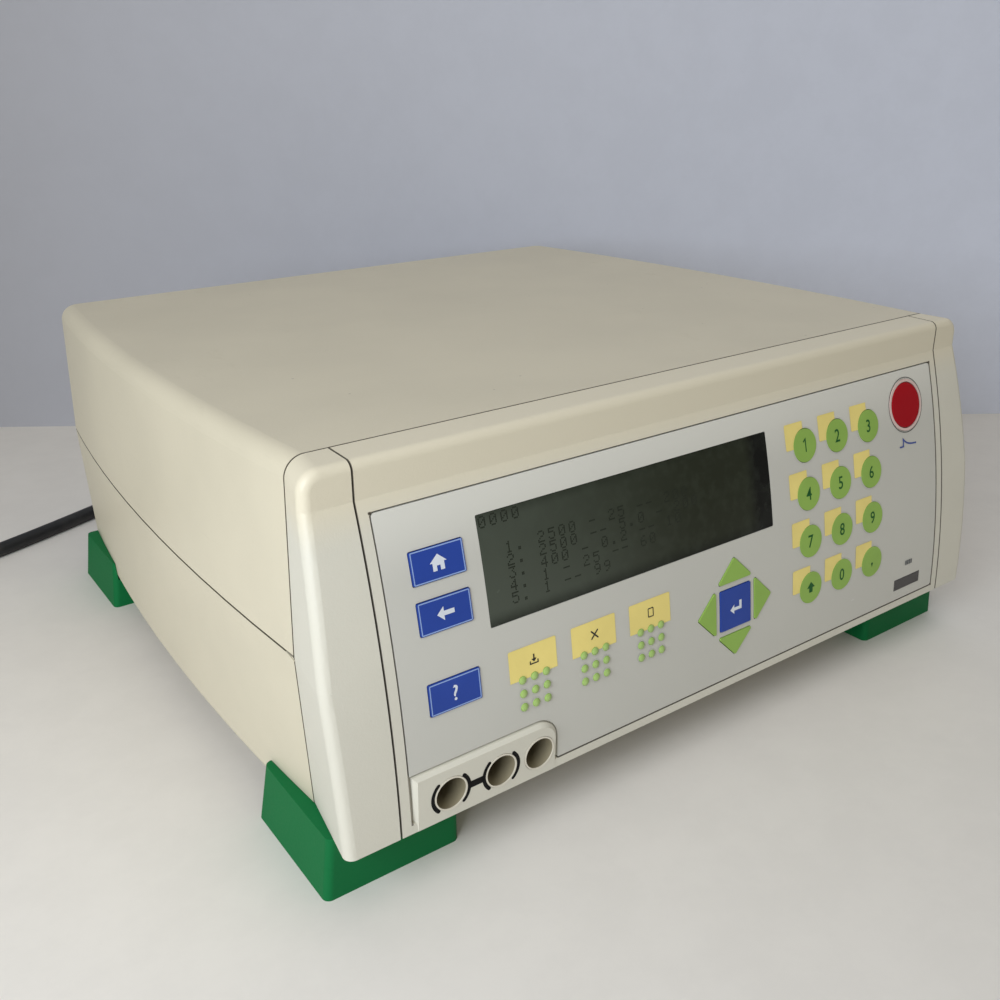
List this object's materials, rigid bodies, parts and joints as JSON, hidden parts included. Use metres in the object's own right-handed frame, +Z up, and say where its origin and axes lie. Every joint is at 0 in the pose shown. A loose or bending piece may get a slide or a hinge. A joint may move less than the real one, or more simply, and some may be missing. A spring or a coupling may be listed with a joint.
{
  "type": "electroporator",
  "caption": "Bench-top pulse generator in a moulded case with sloping keypad front, display, output sockets, wrap-around corner feet and mains lead.",
  "frame": {"origin": "centre of the footprint on the bench, under the middle of the unit", "axes": "+X to the right seen from the front, -Y towards the user, +Z up"},
  "size_m": [0.4898, 0.4487, 0.1375],
  "materials": {
    "case_cream": "fine textured moulding",
    "overlay_grey": "printed film",
    "window": "clear pane",
    "window_dark": "smoked pane",
    "ring_pink": "smooth ring",
    "display_black": "display glass in its frame",
    "board_green": "circuit board",
    "socket_beige": "moulded insulator",
    "contact_brass": "turned",
    "panel_metal": "painted sheet",
    "plated_steel": "zinc plated",
    "black_plastic": "moulded",
    "sheet_metal": "zinc sheet",
    "capacitor_sleeve": "shrink sleeve",
    "sink_aluminium": "anodised",
    "cord_black": "soft jacket",
    "key_green": "printed soft key",
    "key_blue": "printed soft key",
    "key_red": "soft button",
    "foot_green": "moulded shoe"
  },
  "bodies": {
    "base": {"top_cover": "case_cream", "bottom_case": "case_cream", "left_cheek": "case_cream", "right_cheek": "case_cream", "front_fascia": "case_cream", "keypad_overlay": "overlay_grey", "display_window": "window", "status_window": "window_dark", "pulse_ring": "ring_pink", "display_module": "display_black", "keypad_board": "board_green", "output_sockets": "socket_beige", "socket_contacts": "contact_brass", "front_left_foot": "foot_green", "front_right_foot": "foot_green", "rear_left_foot": "foot_green", "rear_right_foot": "foot_green", "rear_panel": "panel_metal", "module_connectors": "plated_steel", "power_inlet": "black_plastic", "fan_frame": "black_plastic", "finger_guard": "plated_steel", "chassis_plate": "sheet_metal", "main_board": "board_green", "capacitor_bank": "capacitor_sleeve", "power_supply": "sheet_metal", "heat_sink": "sink_aluminium", "discharge_switch": "black_plastic", "screws": "plated_steel", "cord_connector": "cord_black", "power_cord": "cord_black", "cord_coil": "cord_black", "mains_plug": "cord_black"},
    "home_key": {"home_key": "key_blue"},
    "back_key": {"back_key": "key_blue"},
    "help_key": {"help_key": "key_blue"},
    "enter_key": {"enter_key": "key_blue"},
    "up_key": {"up_key": "key_green"},
    "left_key": {"left_key": "key_green"},
    "down_key": {"down_key": "key_green"},
    "right_key": {"right_key": "key_green"},
    "pulse_button": {"pulse_button": "key_red"},
    "save_key": {"save_key": "key_green"},
    "delete_key": {"delete_key": "key_green"},
    "clear_key": {"clear_key": "key_green"},
    "digit_1": {"digit_1": "key_green"},
    "digit_2": {"digit_2": "key_green"},
    "digit_3": {"digit_3": "key_green"},
    "digit_4": {"digit_4": "key_green"},
    "digit_5": {"digit_5": "key_green"},
    "digit_6": {"digit_6": "key_green"},
    "digit_7": {"digit_7": "key_green"},
    "digit_8": {"digit_8": "key_green"},
    "digit_9": {"digit_9": "key_green"},
    "shift_key": {"shift_key": "key_green"},
    "digit_0": {"digit_0": "key_green"},
    "point_key": {"point_key": "key_green"},
    "rocker_switch": {"rocker_switch": "black_plastic"},
    "fuse_drawer": {"fuse_drawer": "black_plastic"},
    "fan_rotor": {"fan_rotor": "black_plastic"}
  },
  "joints": [
    {"name": "home_key_press", "type": "slide", "parent": "base", "child": "home_key", "axis": [0, 0.9706, -0.2407], "range_m": [0, 0.0005], "stiffness_N_per_m": 600, "springref_m": -0.0008},
    {"name": "back_key_press", "type": "slide", "parent": "base", "child": "back_key", "axis": [0, 0.9795, -0.2014], "range_m": [0, 0.0005], "stiffness_N_per_m": 600, "springref_m": -0.0008},
    {"name": "help_key_press", "type": "slide", "parent": "base", "child": "help_key", "axis": [0, 0.9907, -0.1359], "range_m": [0, 0.0005], "stiffness_N_per_m": 600, "springref_m": -0.0008},
    {"name": "enter_key_press", "type": "slide", "parent": "base", "child": "enter_key", "axis": [0, 0.9939, -0.1104], "range_m": [0, 0.0005], "stiffness_N_per_m": 600, "springref_m": -0.0008},
    {"name": "up_key_press", "type": "slide", "parent": "base", "child": "up_key", "axis": [0, 0.9889, -0.1484], "range_m": [0, 0.0005], "stiffness_N_per_m": 600, "springref_m": -0.0008},
    {"name": "left_key_press", "type": "slide", "parent": "base", "child": "left_key", "axis": [0, 0.9939, -0.1104], "range_m": [0, 0.0005], "stiffness_N_per_m": 600, "springref_m": -0.0008},
    {"name": "down_key_press", "type": "slide", "parent": "base", "child": "down_key", "axis": [0, 0.9974, -0.0724], "range_m": [0, 0.0005], "stiffness_N_per_m": 600, "springref_m": -0.0008},
    {"name": "right_key_press", "type": "slide", "parent": "base", "child": "right_key", "axis": [0, 0.9939, -0.1104], "range_m": [0, 0.0005], "stiffness_N_per_m": 600, "springref_m": -0.0008},
    {"name": "pulse_button_press", "type": "slide", "parent": "base", "child": "pulse_button", "axis": [0, 0.9677, -0.2522], "range_m": [0, 0.0005], "stiffness_N_per_m": 600, "springref_m": -0.0008},
    {"name": "save_key_press", "type": "slide", "parent": "base", "child": "save_key", "axis": [0, 0.9939, -0.1107], "range_m": [0, 0.0005], "stiffness_N_per_m": 600, "springref_m": -0.0008},
    {"name": "delete_key_press", "type": "slide", "parent": "base", "child": "delete_key", "axis": [0, 0.9939, -0.1107], "range_m": [0, 0.0005], "stiffness_N_per_m": 600, "springref_m": -0.0008},
    {"name": "clear_key_press", "type": "slide", "parent": "base", "child": "clear_key", "axis": [0, 0.9939, -0.1107], "range_m": [0, 0.0005], "stiffness_N_per_m": 600, "springref_m": -0.0008},
    {"name": "digit_1_press", "type": "slide", "parent": "base", "child": "digit_1", "axis": [0, 0.9701, -0.2428], "range_m": [0, 0.0005], "stiffness_N_per_m": 600, "springref_m": -0.0008},
    {"name": "digit_2_press", "type": "slide", "parent": "base", "child": "digit_2", "axis": [0, 0.9701, -0.2428], "range_m": [0, 0.0005], "stiffness_N_per_m": 600, "springref_m": -0.0008},
    {"name": "digit_3_press", "type": "slide", "parent": "base", "child": "digit_3", "axis": [0, 0.9701, -0.2428], "range_m": [0, 0.0005], "stiffness_N_per_m": 600, "springref_m": -0.0008},
    {"name": "digit_4_press", "type": "slide", "parent": "base", "child": "digit_4", "axis": [0, 0.9808, -0.1951], "range_m": [0, 0.0005], "stiffness_N_per_m": 600, "springref_m": -0.0008},
    {"name": "digit_5_press", "type": "slide", "parent": "base", "child": "digit_5", "axis": [0, 0.9808, -0.1951], "range_m": [0, 0.0005], "stiffness_N_per_m": 600, "springref_m": -0.0008},
    {"name": "digit_6_press", "type": "slide", "parent": "base", "child": "digit_6", "axis": [0, 0.9808, -0.1951], "range_m": [0, 0.0005], "stiffness_N_per_m": 600, "springref_m": -0.0008},
    {"name": "digit_7_press", "type": "slide", "parent": "base", "child": "digit_7", "axis": [0, 0.9892, -0.1467], "range_m": [0, 0.0005], "stiffness_N_per_m": 600, "springref_m": -0.0008},
    {"name": "digit_8_press", "type": "slide", "parent": "base", "child": "digit_8", "axis": [0, 0.9892, -0.1467], "range_m": [0, 0.0005], "stiffness_N_per_m": 600, "springref_m": -0.0008},
    {"name": "digit_9_press", "type": "slide", "parent": "base", "child": "digit_9", "axis": [0, 0.9892, -0.1467], "range_m": [0, 0.0005], "stiffness_N_per_m": 600, "springref_m": -0.0008},
    {"name": "shift_key_press", "type": "slide", "parent": "base", "child": "shift_key", "axis": [0, 0.9952, -0.0975], "range_m": [0, 0.0005], "stiffness_N_per_m": 600, "springref_m": -0.0008},
    {"name": "digit_0_press", "type": "slide", "parent": "base", "child": "digit_0", "axis": [0, 0.9952, -0.0975], "range_m": [0, 0.0005], "stiffness_N_per_m": 600, "springref_m": -0.0008},
    {"name": "point_key_press", "type": "slide", "parent": "base", "child": "point_key", "axis": [0, 0.9952, -0.0975], "range_m": [0, 0.0005], "stiffness_N_per_m": 600, "springref_m": -0.0008},
    {"name": "rocker_tilt", "type": "hinge", "parent": "base", "child": "rocker_switch", "pos_m": [0.08, 0.1422, 0.082], "axis": [1, 0, 0], "range_deg": [-20, 0]},
    {"name": "fuse_drawer_slide", "type": "slide", "parent": "base", "child": "fuse_drawer", "axis": [0, 1, 0], "range_m": [0, 0.02]},
    {"name": "fan_spin", "type": "hinge", "parent": "base", "child": "fan_rotor", "pos_m": [-0.072, 0.132, 0.076], "axis": [0, 1, 0], "continuous": true}
  ]
}
